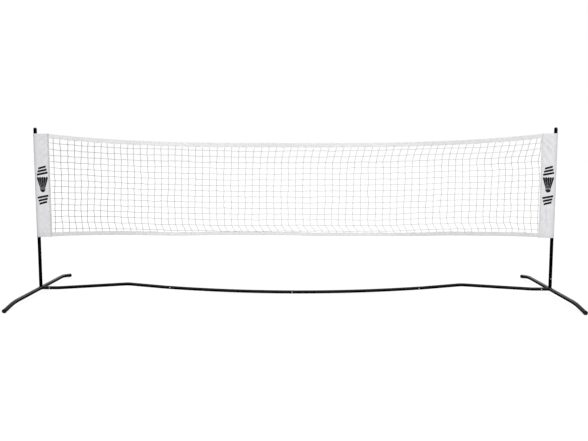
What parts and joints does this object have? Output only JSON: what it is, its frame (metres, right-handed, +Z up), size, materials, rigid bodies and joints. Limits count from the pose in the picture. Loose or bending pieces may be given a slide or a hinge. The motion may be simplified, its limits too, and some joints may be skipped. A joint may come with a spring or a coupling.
{
  "type": "portable badminton net",
  "caption": "Freestanding portable badminton net: a short fabric-edged net slides over two posts on bent steel foot tubes joined by a plug-together floor bar.",
  "frame": {"origin": "on the floor, below the middle of the net", "axes": "+X along the net to the right seen from the front, +Y from the front to the back, +Z up"},
  "size_m": [3.0542, 0.8872, 0.9831],
  "materials": {
    "black_paint": "satin black powder coat on steel tube",
    "bright_steel": "bright zinc plated",
    "black_rubber": "matte moulded",
    "black_plastic": "fine moulded texture",
    "white_sleeve_cloth": "plain woven polyester",
    "white_tape": "folded woven tape, stitched",
    "white_twine": "knotted white twine"
  },
  "bodies": {
    "frame": {"left_foot_tube": "black_paint", "right_foot_tube": "black_paint", "left_front_foot_cap": "black_rubber", "left_back_foot_cap": "black_rubber", "right_front_foot_cap": "black_rubber", "right_back_foot_cap": "black_rubber", "left_post_stub": "black_paint", "right_post_stub": "black_paint", "left_bar_stub": "black_paint", "right_bar_stub": "black_paint", "left_post": "black_paint", "right_post": "black_paint", "left_post_cap": "black_plastic", "right_post_cap": "black_plastic", "left_outer_bar": "black_paint", "right_outer_bar": "black_paint", "left_inner_bar": "black_paint", "right_inner_bar": "black_paint"},
    "net": {"left_sleeve": "white_sleeve_cloth", "right_sleeve": "white_sleeve_cloth", "top_tape": "white_tape", "bottom_tape": "white_tape", "net_mesh": "white_twine"},
    "left_post_snap": {"left_post_button": "bright_steel", "left_post_spring": "bright_steel"},
    "right_post_snap": {"right_post_button": "bright_steel", "right_post_spring": "bright_steel"},
    "left_bar_end_snap": {"left_bar_end_button": "bright_steel", "left_bar_end_spring": "bright_steel"},
    "right_bar_end_snap": {"right_bar_end_button": "bright_steel", "right_bar_end_spring": "bright_steel"},
    "left_bar_joint_snap": {"left_bar_joint_button": "bright_steel", "left_bar_joint_spring": "bright_steel"},
    "right_bar_joint_snap": {"right_bar_joint_button": "bright_steel", "right_bar_joint_spring": "bright_steel"},
    "middle_joint_snap": {"middle_joint_button": "bright_steel", "middle_joint_spring": "bright_steel"}
  },
  "joints": [
    {"name": "net_slide", "type": "slide", "parent": "frame", "child": "net", "axis": [0, 0, 1], "range_m": [-0.235, 0.66]},
    {"name": "left_post_press", "type": "slide", "parent": "frame", "child": "left_post_snap", "axis": [0, -1, 0], "range_m": [0, 0.0038], "stiffness_N_per_m": 1500, "springref_m": -0.002},
    {"name": "right_post_press", "type": "slide", "parent": "frame", "child": "right_post_snap", "axis": [0, 1, 0], "range_m": [0, 0.0038], "stiffness_N_per_m": 1500, "springref_m": -0.002},
    {"name": "left_bar_end_press", "type": "slide", "parent": "frame", "child": "left_bar_end_snap", "axis": [0, 1, 0], "range_m": [0, 0.0038], "stiffness_N_per_m": 1500, "springref_m": -0.002},
    {"name": "right_bar_end_press", "type": "slide", "parent": "frame", "child": "right_bar_end_snap", "axis": [0, 1, 0], "range_m": [0, 0.0038], "stiffness_N_per_m": 1500, "springref_m": -0.002},
    {"name": "left_bar_joint_press", "type": "slide", "parent": "frame", "child": "left_bar_joint_snap", "axis": [0, 1, 0], "range_m": [0, 0.0038], "stiffness_N_per_m": 1500, "springref_m": -0.002},
    {"name": "right_bar_joint_press", "type": "slide", "parent": "frame", "child": "right_bar_joint_snap", "axis": [0, 1, 0], "range_m": [0, 0.0038], "stiffness_N_per_m": 1500, "springref_m": -0.002},
    {"name": "middle_joint_press", "type": "slide", "parent": "frame", "child": "middle_joint_snap", "axis": [0, 1, 0], "range_m": [0, 0.0038], "stiffness_N_per_m": 1500, "springref_m": -0.002}
  ]
}
